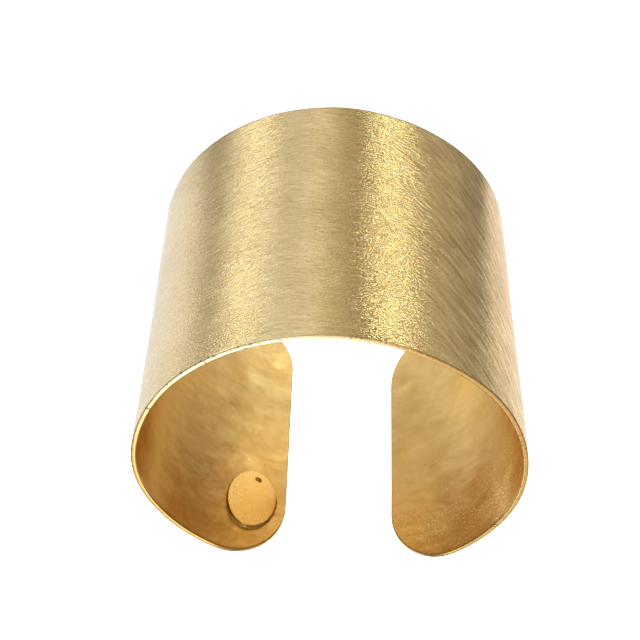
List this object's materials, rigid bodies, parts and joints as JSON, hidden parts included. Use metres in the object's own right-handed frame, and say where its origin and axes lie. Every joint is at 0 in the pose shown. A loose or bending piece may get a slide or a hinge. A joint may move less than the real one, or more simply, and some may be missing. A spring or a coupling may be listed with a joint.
{
  "type": "cuff bracelet",
  "caption": "Wide open cuff bracelet bent from one sheet of brass, with rounded corners at its opening and a small oval tag soldered inside one end.",
  "frame": {"origin": "middle of the part's box in plan, on the surface that the lower rim rests on", "axes": "+Z runs along the wrist from the lower rim to the upper rim, +Y towards the opening, +X towards the end that carries the tag"},
  "size_m": [0.064, 0.0555, 0.06],
  "materials": {
    "brass": "brushed outside, satin inside, polished tag"
  },
  "bodies": {
    "root": {"cuff_band": "brass"}
  },
  "joints": []
}
